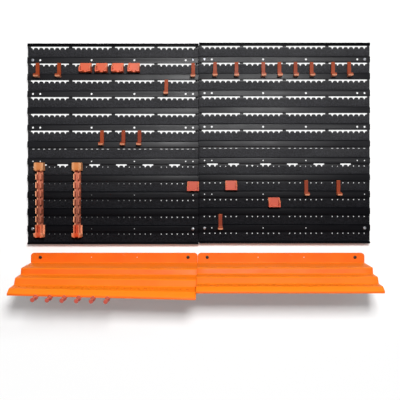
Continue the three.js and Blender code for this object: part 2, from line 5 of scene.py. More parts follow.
import bpy
import bmesh
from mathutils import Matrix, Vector


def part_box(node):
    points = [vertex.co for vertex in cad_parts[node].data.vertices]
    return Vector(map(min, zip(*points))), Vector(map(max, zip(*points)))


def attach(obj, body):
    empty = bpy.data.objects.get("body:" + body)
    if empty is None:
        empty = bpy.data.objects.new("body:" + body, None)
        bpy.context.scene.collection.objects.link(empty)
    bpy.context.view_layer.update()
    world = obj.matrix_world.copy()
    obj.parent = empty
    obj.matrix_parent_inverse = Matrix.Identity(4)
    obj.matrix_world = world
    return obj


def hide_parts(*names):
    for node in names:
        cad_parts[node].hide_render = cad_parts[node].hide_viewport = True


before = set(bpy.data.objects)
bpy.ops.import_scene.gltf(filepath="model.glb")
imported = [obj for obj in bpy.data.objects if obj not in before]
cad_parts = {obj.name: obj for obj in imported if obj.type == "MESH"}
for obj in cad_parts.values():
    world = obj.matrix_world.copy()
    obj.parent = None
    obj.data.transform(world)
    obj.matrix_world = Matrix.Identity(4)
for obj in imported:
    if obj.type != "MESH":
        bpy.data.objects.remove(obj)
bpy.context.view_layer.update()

MM = 0.001
QUARTER = math.pi / 2

# Board panel, in millimetres as in the solids
PITCH = 12.5
ROW_PITCH = 39.4
ROWS = 12
SLOTS, SLOT_PITCHES = 4, 8  # slots in a row, and notch pitches from one slot to the next
CLOSED_ROW, PAIR_ROW = 7, 8
PAIRS = (2, 6, 12, 17, 22, 27)  # first notch of each open pair
PANEL_W, PANEL_H, PANEL_D = 400.0, 470.0, 20.0
TOP_MARGIN = 7.0
DIVIDER, SLOT_EDGE = 8.0, 3.0
SLOT_H = 8.2
NOTCH_DEPTH, NOTCH_MOUTH = 5.4, 5.9
SLOT_R, SHOULDER_R, NOTCH_R, KEYHOLE_R = 0.6, 3.0, 0.7, 0.5
KEYHOLE_H = 4.6
HOLLOW_KEYHOLE_H = 3.3  # where nothing hangs
DIMPLE_H = 2.6
PAIR_ROW_KEYHOLES = {9: KEYHOLE_H, 10: KEYHOLE_H,  # its other single notches are dimples
                     29: HOLLOW_KEYHOLE_H, 30: HOLLOW_KEYHOLE_H, 31: HOLLOW_KEYHOLE_H}
SLIT_W, SLIT_TOP, SLIT_FOOT, SLIT_R = 5.2, 3.2, 4.2, 0.4  # top and foot lie below the row's top
GRAIN_H, FOLD_H = 16.0, 1.8
COMB_D = 15.5
SHEET, RIM = 2.2, 2.4
PANEL_EDGE, END_R, WALL_R = 0.7, 1.6, 0.3
ROW_R = [0.9, 0.5, 0.8, 1.4]  # the corners of one row, from its top down
SCREW_ROWS = (2, 12)
SCREW_X = (13.0, 387.0)
UPPER_HOLE_X = 370.0  # rows below the pairs have no hole there
HOLE_X = (13.0, 30.0, 150.0, 250.0, UPPER_HOLE_X, 387.0)
SCREW_HOLE_R, HOLE_RISE = 2.7, 7.0
HOLE_R = {2: 2.4, 4: 2.4, 6: 2.4, 8: 1.5, 10: 1.3, 12: 1.3}
BOSS_R = 4.5
LAP_ROOT, LAP_REACH, LAP_T, LAP_END, LAP_R = 8.0, 7.5, 3.0, 3.0, 0.5  # strip behind the panels' joint
LAP_GAP_W, LAP_GAP_T = 7.3, 3.3  # its room in the right panel
OVER = 1.0  # how far a cutter runs past what it cuts
BOARDS = {"left": (-400.5, 0.0), "right": (0.5, 2.0)}  # X of the panel's left edge, lift
HUNG_KEYHOLES = {"left": ((9, 31), (12, 2), (12, 3), (12, 9), (12, 10)),  # row and notch
                 "right": ((9, 6), (10, 14), (9, 20), (9, 26), (11, 4))}

# Shelf section
SHELF_W = 394.4
SHELF_T = 3.0
SHELF_DROP = 22.0  # below the left panel
SHELF_TOP = -PANEL_H / 2 - SHELF_DROP
SHELVES = {"left": -3.2 - SHELF_W, "right": -2.8}  # X of the section's left edge
FRONTS = (72.2, 110.5, 148.0)
FEET = (74.5, 118.0, 161.0)
TREADS = (-23.5, -37.0, -50.5)
SHELF_H, BACK_H, LIP_FACE = 62.5, 52.0, 4.0
BEAD, COVE = 4.5, 2.0
FLANGE_R = 8.0
FLANGE_HOLE_Z = -10.5
FLANGE_HOLES = ((22.5, 2.2), (143.0, 1.3), (251.4, 1.3), (371.9, 2.2))  # X and radius
RIB_X, RIB_T = (0.0, 196.0, 392.0), 2.4
TREAD_HOLES, TREAD_HOLE_X, TREAD_HOLE_PITCH, TREAD_HOLE_R = 25, 16.0, 15.0, 2.7
BITE_D = 21.0  # how far forward the flange's corners are cleared
SHELF_EDGE, SHELF_SPANS = 0.8, 20
OUTER_DROOP, SEAM_DROOP = 4.5, 14.0  # of the left section's lip

# Screws
PANEL_SCREW, SHELF_SCREW = (3.6, 2.0, 2.0), (3.8, 2.2, 1.9)  # head radius, head height, shank radius
SCREW_SIDES, DOME_STEPS = 28, 6
DOME_FOOT_SHARE = 0.3  # of the head's height
RECESS_ARM_SHARE, RECESS_HALF_SHARE = 0.62, 0.14  # of the head's radius
RECESS_FLOOR_SHARE = 0.35  # of the head's height
FIRST_TURN, NEXT_TURN = 0.35, 0.7  # of the recesses, in radians

# Edges of the solids that are kept, and how near points are welded
EDGE_W, EDGE_ANGLE, WELD = 0.55, 48, 0.01


# Mesh helpers. Outlines are lists of (u, v) in millimetres; meshes are in metres.

STRAIGHT = 0.02  # a corner that turns by fewer radians isn't rounded
MOST_SHARE = 0.49  # of a side, for one corner's rounding
BEVEL_ANGLE = 50


def rounded(points, radius, steps=3):
    """Closed outline with each corner rounded. radius is one number, or one for each corner."""
    radii = radius if isinstance(radius, (list, tuple)) else [radius] * len(points)
    out = []
    for i, corner in enumerate(points):
        here = Vector(corner)
        before, after = Vector(points[i - 1]) - here, Vector(points[(i + 1) % len(points)]) - here
        r = radii[i]
        turn = math.pi - before.angle(after, math.pi)
        if r <= 0 or turn < STRAIGHT:
            out.append(tuple(here))
            continue
        reach = min(r * math.tan(turn / 2), before.length * MOST_SHARE, after.length * MOST_SHARE)
        a, b = here + before.normalized() * reach, here + after.normalized() * reach
        for k in range(steps + 1):
            t = k / steps
            out.append(tuple((1 - t) ** 2 * a + 2 * t * (1 - t) * here + t * t * b))
    return out


def ring(cx, cy, radius, sides=24):
    return [(cx + radius * math.cos(2 * math.pi * i / sides), cy + radius * math.sin(2 * math.pi * i / sides))
            for i in range(sides)]


def arc(cx, cy, radius, start, end, steps=8):
    return [(cx + radius * math.cos(start + (end - start) * i / steps),
             cy + radius * math.sin(start + (end - start) * i / steps)) for i in range(steps + 1)]


def prism(bm, outline, a, b, axis, segments=1):
    """Adds a closed prism. axis X takes outlines in (Y, Z), Y takes (X, Z), and Z takes (X, Y)."""
    def at(u, v, w):
        point = {"X": (w, u, v), "Y": (u, w, v), "Z": (u, v, w)}[axis]
        return Vector(point) * MM
    loops = []
    for s in range(segments + 1):
        w = a + (b - a) * s / segments
        loops.append([bm.verts.new(at(u, v, w)) for u, v in outline])
    count = len(outline)
    faces = [bm.faces.new(loops[0]), bm.faces.new(list(reversed(loops[-1])))]
    for low, high in zip(loops, loops[1:]):
        for i in range(count):
            j = (i + 1) % count
            faces.append(bm.faces.new((low[j], low[i], high[i], high[j])))
    bmesh.ops.recalc_face_normals(bm, faces=faces)


def solid(name, *prisms):
    """An object of one or more disjoint prisms, each (outline, a, b, axis[, segments])."""
    bm = bmesh.new()
    for item in prisms:
        prism(bm, *item)
    mesh = bpy.data.meshes.new(name)
    bm.to_mesh(mesh)
    bm.free()
    made = bpy.data.objects.new(name, mesh)
    bpy.context.scene.collection.objects.link(made)
    return made


def applied(obj):
    """Replaces obj's mesh by what its modifiers make."""
    graph = bpy.context.evaluated_depsgraph_get()
    mesh = bpy.data.meshes.new_from_object(obj.evaluated_get(graph))
    old = obj.data
    obj.modifiers.clear()
    obj.data = mesh
    bpy.data.meshes.remove(old)
    mesh.name = obj.name
    return obj


def bevelled(obj, width, segments):
    modifier = obj.modifiers.new("edge", "BEVEL")
    modifier.width = width * MM
    modifier.segments = segments
    modifier.limit_method = "ANGLE"
    modifier.angle_limit = math.radians(BEVEL_ANGLE)
    modifier.use_clamp_overlap = True
    return applied(obj)


def combined(obj, operation, *others):
    for other in others:
        modifier = obj.modifiers.new("with", "BOOLEAN")
        modifier.operation = operation
        modifier.solver = "EXACT"
        modifier.object = other
        applied(obj)
        bpy.data.objects.remove(other)
    return obj


def smooth(mesh, angle=35):
    mesh.shade_smooth()
    mesh.set_sharp_from_angle(angle=math.radians(angle))


def copy_of(obj, name):
    made = obj.copy()
    made.data = obj.data.copy()
    made.name = name
    bpy.context.scene.collection.objects.link(made)
    return made


# Materials

class Nodes:
    """Short names for the nodes of one material."""

    def __init__(self, name):
        self.material = bpy.data.materials.new(name)
        self.material.use_nodes = True
        self.tree = self.material.node_tree
        self.shader = self.tree.nodes["Principled BSDF"]
        self.output = self.tree.nodes["Material Output"]
        self.texture = self.add("ShaderNodeTexCoord")
        self.coords = self.texture.outputs["Object"]

    def add(self, kind, inputs=(), **settings):
        node = self.tree.nodes.new(kind)
        for key, value in settings.items():
            setattr(node, key, value)
        for key, value in dict(inputs).items():
            self.put(node.inputs[key], value)
        return node

    def put(self, socket, value):
        if isinstance(value, bpy.types.NodeSocket):
            self.tree.links.new(value, socket)
        else:
            socket.default_value = value

    def math(self, operation, a, b=0.0):
        return self.add("ShaderNodeMath", {0: a, 1: b}, operation=operation).outputs[0]

    def noise(self, scale, detail, rough=0.5, vector=None):
        return self.add("ShaderNodeTexNoise", {"Vector": vector or self.coords, "Scale": scale,
                                               "Detail": detail, "Roughness": rough}).outputs["Fac"]

    def stretch(self, x, y, z):
        return self.add("ShaderNodeMapping", {"Vector": self.coords, "Scale": (x, y, z)}).outputs[0]

    def span(self, value, low, high, to_low=0.0, to_high=1.0):
        return self.add("ShaderNodeMapRange", {0: value, 1: low, 2: high, 3: to_low, 4: to_high},
                        interpolation_type="SMOOTHSTEP").outputs[0]

    def blend(self, share, a, b):
        node = self.add("ShaderNodeMix", data_type="RGBA")
        self.put(node.inputs[0], share)
        self.put(node.inputs[6], a)
        self.put(node.inputs[7], b)
        return node.outputs[2]

    def bump(self, height, strength, depth, normal=None):
        node = self.add("ShaderNodeBump", {"Height": height, "Strength": strength, "Distance": depth})
        if normal:
            self.put(node.inputs["Normal"], normal)
        return node.outputs[0]

    def finish(self, colour, rough, normal, **values):
        self.put(self.shader.inputs["Base Color"], colour)
        self.put(self.shader.inputs["Roughness"], rough)
        self.put(self.shader.inputs["Normal"], normal)
        for key, value in values.items():
            self.put(self.shader.inputs[key.replace("_", " ")], value)
        return self.material


def srgb(red, green, blue):
    def linear(value):
        value /= 255
        return value / 12.92 if value < 0.04045 else ((value + 0.055) / 1.055) ** 2.4
    return linear(red), linear(green), linear(blue), 1.0


def board_material():
    """Black moulded plastic: smooth bands, and a stippled zone in each row's set-back part."""
    n = Nodes("black_plastic_moulded")
    height = n.add("ShaderNodeSeparateXYZ", {0: n.coords}).outputs[2]
    first = (PANEL_H / 2 - TOP_MARGIN) * MM
    along = n.math("MULTIPLY", n.math("SUBTRACT", first, height), 1 / (ROW_PITCH * MM))
    share = n.math("FRACT", along)
    low = n.span(share, (SLOT_H - 3) / ROW_PITCH, (SLOT_H - 2) / ROW_PITCH)
    high = n.span(share, (SLOT_H + GRAIN_H - 1) / ROW_PITCH, (SLOT_H + GRAIN_H) / ROW_PITCH, 1.0, 0.0)
    inside = n.math("MULTIPLY", n.math("MULTIPLY", low, high), n.span(along, 0.02, 0.03))
    stipple = n.noise(620.0, 2.0, 0.65)
    broad = n.noise(7.0, 4.0, 0.6)
    scuff = n.span(n.noise(38.0, 6.0, 0.7, n.stretch(0.35, 1, 1)), 0.60, 0.74)
    plain = n.blend(broad, srgb(10, 10, 13), srgb(20, 20, 24))
    speckled = n.blend(n.span(stipple, 0.42, 0.62), srgb(10, 10, 12), srgb(42, 42, 47))
    colour = n.blend(inside, plain, speckled)
    colour = n.blend(n.math("MULTIPLY", scuff, 0.25), colour, srgb(50, 50, 54))
    # Painted shade: the board gets darker towards its foot, nearly black at the bottom, and shines less
    # there.
    painted_top_light = n.span(height, -0.21, 0.04)
    colour = n.blend(n.span(painted_top_light, 0, 1, 0.55, 0.0), colour, srgb(6, 6, 8))
    below_top = n.span(along, -0.02, 0.0)
    colour = n.blend(below_top, srgb(5, 5, 6), colour)
    rough = n.math("ADD", n.span(inside, 0, 1, 0.46, 0.62), n.span(broad, 0.3, 0.7, -0.05, 0.06))
    fine = n.bump(n.noise(1500.0, 2.0), 0.12, 0.0002)
    grain = n.bump(n.math("MULTIPLY", stipple, inside), 0.65, 0.0009, fine)
    shine = n.math("MULTIPLY", n.span(painted_top_light, 0, 1, 0.04, 0.24), n.span(below_top, 0, 1, 0.1, 1.0))
    return n.finish(colour, rough, grain, Specular_IOR_Level=shine)


def orange_surface(n, colour, rough, shine):
    """Fine grain and faint rubbed marks over a colour of orange moulded plastic."""
    flow = n.noise(60.0, 3.0, 0.55, n.stretch(0.25, 1, 1))
    rub = n.span(n.noise(85.0, 7.0, 0.72, n.stretch(0.3, 1, 1)), 0.62, 0.78)
    colour = n.blend(n.math("MULTIPLY", rub, 0.16), colour, srgb(255, 196, 150))
    gloss = n.math("ADD", n.span(flow, 0.3, 0.7, rough - 0.05, rough + 0.07), n.math("MULTIPLY", rub, 0.12))
    grain = n.bump(n.noise(1300.0, 3.0, 0.6), 0.16, 0.0003)
    normal = n.bump(flow, 0.06, 0.0010, grain)
    return n.finish(colour, gloss, normal, Specular_IOR_Level=shine)


def orange_material(name, deep, light, painted_top_light, rough, shine, foot=None):
    """Orange moulded plastic: slight cloudiness, and painted light that makes upward faces paler.
    foot is the share of the piece's height that gets a painted highlight, paler at its foot, and the colour
    there."""
    n = Nodes(name)
    cloud = n.noise(11.0, 4.0, 0.6)
    colour = n.blend(n.span(cloud, 0.3, 0.7), deep, light)
    up = n.add("ShaderNodeSeparateXYZ", {0: n.add("ShaderNodeNewGeometry").outputs["Normal"]}).outputs[2]
    # Painted light: faces that look upwards take the paler colour.
    colour = n.blend(n.span(up, 0.3, 0.95), colour, painted_top_light)
    # Painted highlight: a paler band at the piece's foot.
    if foot:
        share, pale = foot
        level = n.add("ShaderNodeSeparateXYZ", {0: n.texture.outputs["Generated"]}).outputs[2]
        colour = n.blend(n.span(level, 0.6 * share, share, 0.9, 0.0), colour, pale)
    return orange_surface(n, colour, rough, shine)


def rack_material():
    """The racks' plastic: pale cap, redder body darker towards its foot, deep orange foot; painted highlights
    make the body's left edge and the cap's and foot's sides paler.
    """
    n = Nodes("rack_plastic_moulded")
    place = n.add("ShaderNodeSeparateXYZ", {0: n.texture.outputs["Generated"]})
    across, level = place.outputs[0], place.outputs[2]
    aside = n.math("ABSOLUTE", n.math("SUBTRACT", across, 0.5))
    body = n.blend(n.span(level, 0.3, 0.85), srgb(140, 74, 56), srgb(192, 106, 80))
    # Painted highlight: a pale stripe down the body's left edge.
    body = n.blend(n.span(across, 0.2, 0.3, 1.0, 0.0), body, srgb(240, 168, 124))
    # Painted highlights: the cap and the foot are paler towards their sides.
    cap = n.blend(n.span(aside, 0.1, 0.4), srgb(186, 108, 50), srgb(198, 138, 92))
    foot = n.blend(n.span(aside, 0.12, 0.45), srgb(192, 64, 24), srgb(208, 132, 96))
    colour = n.blend(n.span(level, 0.885, 0.895), body, cap)
    colour = n.blend(n.span(level, 0.15, 0.18, 1.0, 0.0), colour, foot)
    cloud = n.span(n.noise(11.0, 4.0, 0.6), 0.3, 0.7, 0.0, 0.12)
    return orange_surface(n, n.blend(cloud, colour, srgb(236, 176, 132)), 0.42, 0.3)


def steel_material(name, dark, light, rough, metallic):
    """Turned screw metal with fine rings and slight tarnish."""
    n = Nodes(name)
    tarnish = n.noise(420.0, 4.0, 0.6)
    colour = n.blend(n.span(tarnish, 0.35, 0.7), light, dark)
    rings = n.noise(2600.0, 2.0, 0.5, n.stretch(1, 0.05, 1))
    return n.finish(colour, n.span(tarnish, 0.3, 0.7, rough, rough + 0.15), n.bump(rings, 0.2, 0.0001),
                    Metallic=metallic)


board_plastic = board_material()
# The third colour of each orange material is painted light on its upward faces.
shelf_plastic = orange_material(
    "shelf_plastic_moulded", srgb(222, 94, 8), srgb(228, 104, 14), srgb(255, 128, 18), rough=0.50, shine=0.2)
# Painted shade: the hooks' deep orange is darkened for shade, and their pale foot is a painted highlight on
# the prong's tip.
hook_plastic = orange_material(
    "hook_plastic_shade_and_highlight", srgb(118, 42, 16), srgb(142, 58, 24), srgb(186, 104, 62), rough=0.46, shine=0.12,
    foot=(0.13, srgb(184, 122, 92)))
clip_plastic = orange_material(
    "clip_plastic_moulded", srgb(188, 78, 44), srgb(204, 92, 56), srgb(222, 138, 100), rough=0.42, shine=0.4)
holder_plastic = orange_material(
    "holder_plastic_moulded", srgb(168, 58, 30), srgb(182, 70, 40), srgb(206, 116, 80),
    rough=0.42, shine=0.35)
rack_plastic = rack_material()
# Painted shade: the pegs' orange is darkened for the shade inside the wrench rings around their ends.
peg_plastic = orange_material(
    "peg_plastic_painted_shade", srgb(170, 70, 56), srgb(186, 82, 66), srgb(214, 110, 80), rough=0.42, shine=0.4)
zinc = steel_material(
    "zinc_screw_plated", srgb(110, 112, 116), srgb(158, 160, 164), rough=0.38, metallic=0.9)
blacked = steel_material(
    "black_screw_blacked", srgb(26, 26, 28), srgb(52, 50, 50), rough=0.42, metallic=0.6)


# Boards

def row_top(row):
    return PANEL_H / 2 - TOP_MARGIN - (row - 1) * ROW_PITCH


def front_line():
    """The sheet's face from the top to the foot as (depth, height)."""
    line = [(PANEL_D, PANEL_H / 2)]
    for row in range(1, ROWS + 1):
        top = row_top(row)
        fold = top - SLOT_H - GRAIN_H
        line += [(PANEL_D, top), (COMB_D, top), (COMB_D, fold), (PANEL_D, fold - FOLD_H)]
    return line + [(PANEL_D, -PANEL_H / 2)]


def mitred(line, thickness):
    """The open line moved towards the wall by the sheet's thickness."""
    normals = []
    for (u, v), (s, t) in zip(line, line[1:]):
        length = math.hypot(s - u, t - v)
        normals.append(((t - v) / length, -(s - u) / length))
    out = []
    for i, (u, v) in enumerate(line):
        a, b = normals[max(i - 1, 0)], normals[min(i, len(normals) - 1)]
        scale = thickness / (1 + a[0] * b[0] + a[1] * b[1])
        out.append((u + (a[0] + b[0]) * scale, v + (a[1] + b[1]) * scale))
    return out


def comb(left, right, notches, top):
    floor, crest = top - SLOT_H, top - SLOT_H + NOTCH_DEPTH
    points, radii = [(left, top), (left, crest)], [SLOT_R, SLOT_R]
    for notch in notches:
        x = notch * PITCH
        points += [(x - NOTCH_MOUTH / 2, crest), (x, floor), (x + NOTCH_MOUTH / 2, crest)]
        radii += [SHOULDER_R, NOTCH_R, SHOULDER_R]
    points += [(right, crest), (right, top)]
    return rounded(points, radii + [SLOT_R, SLOT_R])


def keyhole(notch, top, height):
    x, floor = notch * PITCH, top - SLOT_H
    half = height * NOTCH_MOUTH / 2 / NOTCH_DEPTH
    return rounded([(x - half, floor + height), (x, floor), (x + half, floor + height)], KEYHOLE_R)


def slit(notch, top):
    """Sliver of a notch that shows a little under the band's edge."""
    x, high, low = notch * PITCH, top - SLIT_TOP, top - SLIT_FOOT
    left, right = x - SLIT_W / 2, x + SLIT_W / 2
    return rounded([(left, high), (left, low), (right, low), (right, high)], SLIT_R)


def slot_notches(slot):
    return range(slot * SLOT_PITCHES + 1, (slot + 1) * SLOT_PITCHES)


def pair_row_openings(top):
    """Pairs of notches with an opening each, and a keyhole or dimple at every other notch."""
    pairs = [comb(n * PITCH - PITCH / 2, (n + 1) * PITCH + PITCH / 2, (n, n + 1), top) for n in PAIRS]
    singles = [n for slot in range(SLOTS) for n in slot_notches(slot)
               if n not in PAIRS and n - 1 not in PAIRS]
    return pairs + [keyhole(n, top, PAIR_ROW_KEYHOLES.get(n, DIMPLE_H)) for n in singles]


def row_openings(row):
    top = row_top(row)
    if row == PAIR_ROW:
        return pair_row_openings(top)
    out = []
    for slot in range(SLOTS):
        notches = slot_notches(slot)
        if row == CLOSED_ROW:
            out += [slit(n, top) for n in notches]
        elif row > PAIR_ROW:
            out += [keyhole(n, top, HOLLOW_KEYHOLE_H) for n in notches]
        else:
            start, end = slot * SLOT_PITCHES * PITCH, (slot + 1) * SLOT_PITCHES * PITCH
            left = start + DIVIDER / 2 if slot else SLOT_EDGE
            right = end - DIVIDER / 2 if slot < SLOTS - 1 else PANEL_W - SLOT_EDGE
            out.append(comb(left, right, notches, top))
    return out


def to_wall(line):
    return [(-depth, z) for depth, z in line]


def comb_cutter(outline):
    return outline, -PANEL_D - OVER, OVER + SHEET - COMB_D, "Y"


def hole_cutters():
    """Cutters of the round holes above every second row."""
    out = []
    for row, radius in HOLE_R.items():
        for x in HOLE_X:
            if row in SCREW_ROWS and x in SCREW_X:
                radius_here = SCREW_HOLE_R
            elif row > PAIR_ROW and x == UPPER_HOLE_X:
                continue
            else:
                radius_here = radius
            out.append((ring(x, row_top(row) + HOLE_RISE, radius_here), -PANEL_D - OVER, OVER, "Y"))
    return out


def panel_shell():
    half = PANEL_H / 2
    face = front_line()
    radii = [END_R] + ROW_R * ROWS + [END_R, WALL_R, WALL_R]
    outer = to_wall(rounded(face + [(0, -half), (0, half)], radii))
    shell = bevelled(solid("panel_shell", (outer, 0, PANEL_W, "X")), PANEL_EDGE, 3)
    back = mitred(face, SHEET)[1:-2]
    hollow = to_wall([(-OVER, half - RIM), (PANEL_D - SHEET, half - RIM)] + back
                     + [(COMB_D - SHEET, RIM - half), (-OVER, RIM - half)])
    combined(shell, "DIFFERENCE", solid("hollow", (hollow, RIM, PANEL_W - RIM, "X")))
    bosses = [(ring(x, row_top(row) + HOLE_RISE, BOSS_R, 32), SHEET / 2 - PANEL_D, 0, "Y")
              for row in SCREW_ROWS for x in SCREW_X]
    combined(shell, "UNION", solid("bosses", *bosses))
    cutters = [comb_cutter(outline) for row in range(1, ROWS + 1) for outline in row_openings(row)]
    combined(shell, "DIFFERENCE", solid("cutters", *cutters, *hole_cutters()))
    return shell


def build_boards():
    shell = panel_shell()
    half = PANEL_H / 2
    for side, (x, lift) in BOARDS.items():
        piece = copy_of(shell, f"board_{side}")
        if side == "left":
            root, tip = PANEL_W - LAP_ROOT, PANEL_W + LAP_REACH
            strip = rounded([(root, -LAP_T), (tip, -LAP_T), (tip, 0), (root, 0)], LAP_R)
            combined(piece, "UNION", solid("strip", (strip, LAP_END - half, half - LAP_END, "Z")))
        else:
            gap = [(-OVER, -LAP_GAP_T), (LAP_GAP_W, -LAP_GAP_T), (LAP_GAP_W, OVER), (-OVER, OVER)]
            combined(piece, "DIFFERENCE", solid("gap", (gap, -half - OVER, half + OVER, "Z")))
        holes = [comb_cutter(keyhole(notch, row_top(row), KEYHOLE_H)) for row, notch in HUNG_KEYHOLES[side]]
        combined(piece, "DIFFERENCE", solid("holes", *holes))
        piece.location = Vector((x, 0, lift)) * MM
        piece.data.materials.clear()
        piece.data.materials.append(board_plastic)
        smooth(piece.data)
        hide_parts(f"panel_{side}")
        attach(piece, "root")
    bpy.data.objects.remove(shell)


# Shelf

def shelf_line():
    """The sheet's upper face from the wall to the lip as (depth, height)."""
    line = [(SHELF_T, 0.0)]
    for top, back, front in zip(TREADS, (SHELF_T,) + FEET, FRONTS):
        line += [(back, top), (front, top)]
    line += [(FEET[-1], LIP_FACE - SHELF_H), (FEET[-1], -SHELF_H)]
    return rounded(line, [0] + [COVE, BEAD] * len(TREADS) + [BEAD, 0], steps=6)


def droop(x, depth):
    lip = OUTER_DROOP + (SEAM_DROOP - OUTER_DROOP) * x / SHELF_W
    return lip * (max(depth - SHELF_T, 0) / (FEET[-1] - SHELF_T)) ** 2


def build_shelves():
    line = shelf_line()
    sheet = to_wall(line + list(reversed(mitred(line, SHELF_T))))
    body = bevelled(solid("shelf_sheet", (sheet, 0, SHELF_W, "X", SHELF_SPANS)), SHELF_EDGE, 2)
    corner = FLANGE_R
    plate = ([(0, -BACK_H), (SHELF_W, -BACK_H)] + arc(SHELF_W - corner, -corner, corner, 0, QUARTER)
             + arc(corner, -corner, corner, QUARTER, 2 * QUARTER))
    combined(body, "UNION", solid("plate", (plate, -SHELF_T, 0, "Y")))
    middle = [(d, z) for d, z in mitred(line, SHELF_T / 2) if LIP_FACE - SHELF_H < z < TREADS[0]]
    rib = to_wall([(SHELF_T / 2, TREADS[0])] + middle
                  + [(FEET[-1] - SHELF_T / 2, LIP_FACE - SHELF_H - BEAD / 2), (SHELF_T / 2, -BACK_H)])
    combined(body, "UNION", solid("ribs", *[(rib, x, x + RIB_T, "X") for x in RIB_X]))
    hole_y = -(FEET[1] + FRONTS[2]) / 2
    holes = [ring(TREAD_HOLE_X + TREAD_HOLE_PITCH * i, hole_y, TREAD_HOLE_R) for i in range(TREAD_HOLES)]
    cuts = [(hole, TREADS[2] - SHELF_T - OVER, TREADS[2] + OVER, "Z") for hole in holes]
    cuts += [(ring(x, FLANGE_HOLE_Z, radius), -SHELF_T - OVER, OVER, "Y") for x, radius in FLANGE_HOLES]
    for edge, inward in ((0, 1), (SHELF_W, -1)):
        bite = [(edge - inward * OVER, OVER), (edge - inward * OVER, -corner)]
        bite += [(edge + inward * x, z) for x, z in arc(corner, -corner, corner, 2 * QUARTER, QUARTER)]
        cuts.append((bite + [(edge + inward * corner, OVER)], -BITE_D, OVER, "Y"))
    combined(body, "DIFFERENCE", solid("cuts", *cuts))
    for side, x in SHELVES.items():
        piece = copy_of(body, f"stepped_shelf_{side}")
        if side == "left":
            for vertex in piece.data.vertices:
                vertex.co.z -= droop(vertex.co.x / MM, -vertex.co.y / MM) * MM
        piece.location = Vector((x, 0, SHELF_TOP)) * MM
        piece.data.materials.clear()
        piece.data.materials.append(shelf_plastic)
        smooth(piece.data)
        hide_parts(f"shelf_{side}")
        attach(piece, "root")
    bpy.data.objects.remove(body)


# Screws

def screw_mesh(name, head, height, shank, length):
    """Pan head with a cross recess, along -Y, with the head's underside at Y 0."""
    profile = [(0.0, length), (shank, length), (shank, 0), (head, 0), (head, -DOME_FOOT_SHARE * height)]
    profile += [(head * math.cos(a), -height * (DOME_FOOT_SHARE + (1 - DOME_FOOT_SHARE) * math.sin(a)))
                for a in (QUARTER * k / DOME_STEPS for k in range(1, DOME_STEPS))]
    profile.append((0.0, -height))
    bm = bmesh.new()
    sides = SCREW_SIDES
    rings = []
    for radius, y in profile:
        if radius == 0:
            rings.append([bm.verts.new((0, y * MM, 0))])
        else:
            rings.append([bm.verts.new((u * MM, y * MM, v * MM)) for u, v in ring(0, 0, radius, sides)])
    for low, high in zip(rings, rings[1:]):
        for i in range(sides):
            j = (i + 1) % sides
            corners = [low[i % len(low)], low[j % len(low)], high[j % len(high)], high[i % len(high)]]
            bm.faces.new(list(dict.fromkeys(corners)))
    bmesh.ops.recalc_face_normals(bm, faces=bm.faces)
    mesh = bpy.data.meshes.new(name)
    bm.to_mesh(mesh)
    bm.free()
    made = bpy.data.objects.new(name, mesh)
    bpy.context.scene.collection.objects.link(made)
    arm, half = head * RECESS_ARM_SHARE, head * RECESS_HALF_SHARE
    for u, v in ((arm, half), (half, arm)):
        recess = [(-u, -v), (u, -v), (u, v), (-u, v)]
        floor = -height * RECESS_FLOOR_SHARE
        combined(made, "DIFFERENCE", solid("recess", (recess, -height - OVER, floor, "Y")))
    return made


def build_screws():
    kinds = (("panel_screw", zinc, "zinc_screw", PANEL_SCREW),
             ("shelf_screw", blacked, "black_screw", SHELF_SCREW))
    for kind, material, slot, (head, height, shank) in kinds:
        names = [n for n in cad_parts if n.startswith(kind)]
        low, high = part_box(names[0])
        length = (high.y - low.y) / MM - height
        pattern = screw_mesh(kind, head, height, shank, length)
        pattern.data.materials.clear()
        pattern.data.materials.append(material)
        smooth(pattern.data, 40)
        for index, node in enumerate(names):
            low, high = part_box(node)
            piece = pattern.copy()
            piece.name = node + "_head"
            bpy.context.scene.collection.objects.link(piece)
            piece.location = ((low.x + high.x) / 2, low.y + height * MM, (low.z + high.z) / 2)
            piece.rotation_euler = (0, FIRST_TURN + NEXT_TURN * index, 0)
            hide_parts(node)
            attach(piece, "root")
        bpy.data.objects.remove(pattern)


# Hung pieces and lip clips keep their solids

def dress_solids():
    for name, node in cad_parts.items():
        if name.startswith(("panel", "shelf")):
            continue
        weld = node.modifiers.new("weld", "WELD")
        weld.merge_threshold = WELD * MM
        edge = node.modifiers.new("edge", "BEVEL")
        edge.width = EDGE_W * MM
        edge.segments = 3
        edge.limit_method = "ANGLE"
        edge.angle_limit = math.radians(EDGE_ANGLE)
        kinds = {"hook": hook_plastic, "rack": rack_plastic, "lip": peg_plastic,
                 "driver": holder_plastic, "twin": holder_plastic}
        node.data.materials.clear()
        node.data.materials.append(kinds.get(name.split("_")[0], clip_plastic))
        node.data.shade_smooth()
        normals = node.modifiers.new("normals", "WEIGHTED_NORMAL")
        normals.keep_sharp = True


# Stage, light and camera, in metres and watts

WALL_Y, FLOOR_Z = 0.0006, -1.05
STAGE_SIDE, STAGE_FRONT, STAGE_TOP = 4, -5, 3
BOUNCE = 0.4  # how pale the stage is for the light that it bounces
